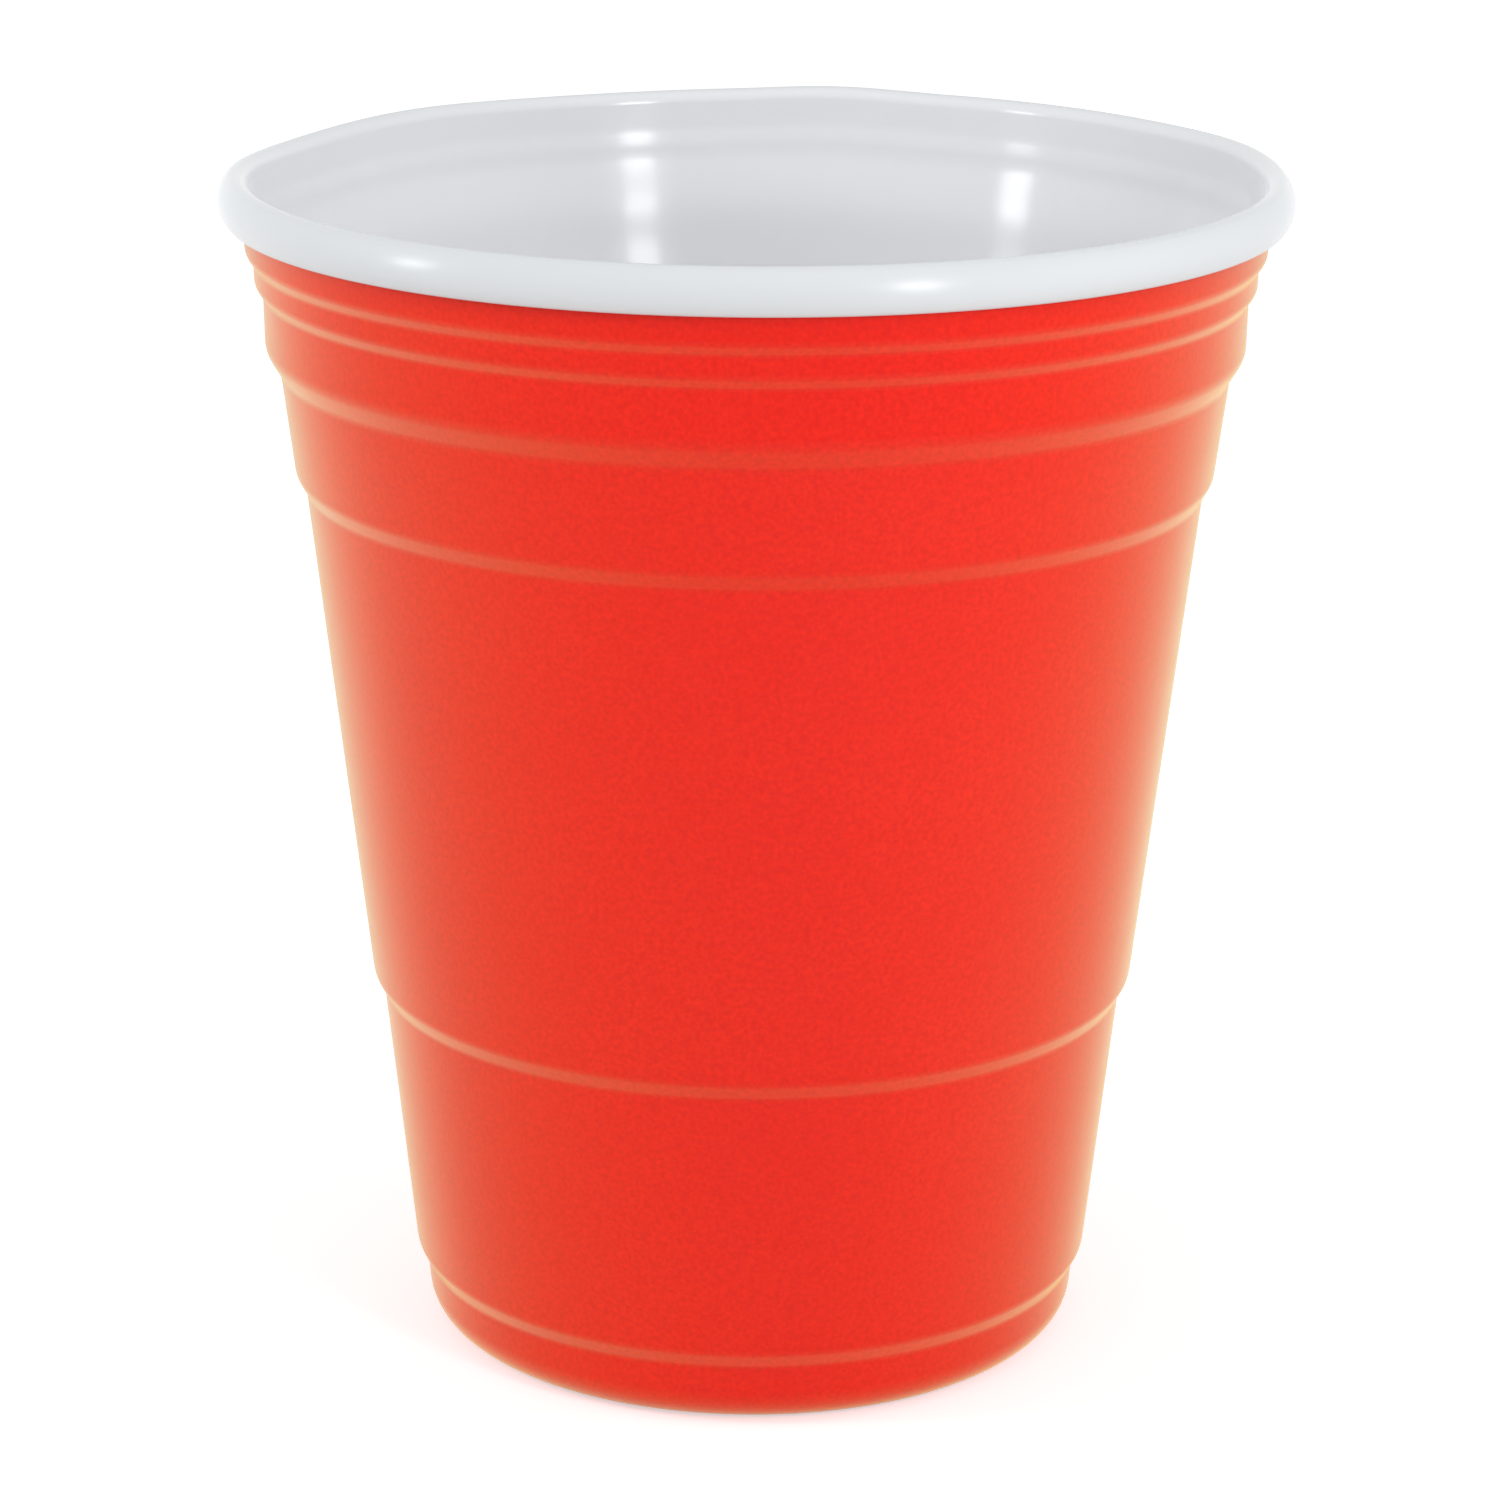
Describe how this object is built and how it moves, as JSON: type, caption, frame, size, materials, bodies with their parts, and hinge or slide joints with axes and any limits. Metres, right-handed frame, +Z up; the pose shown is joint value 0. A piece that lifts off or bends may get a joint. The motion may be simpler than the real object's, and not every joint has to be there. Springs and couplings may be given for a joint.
{
  "type": "plastic party cup",
  "caption": "Tapered party cup formed from two-tone plastic sheet, with a rolled lip, stepped bands to grip and stack by, and a dished base.",
  "frame": {"origin": "centre of the standing ring, in the plane that the cup stands on", "axes": "+Z up along the cup's axis, towards the mouth"},
  "size_m": [0.0984, 0.0984, 0.1114],
  "materials": {
    "cup_sheet": "glossy red outside, white inside and over the rolled lip"
  },
  "bodies": {
    "root": {"cup": "cup_sheet"}
  },
  "joints": []
}
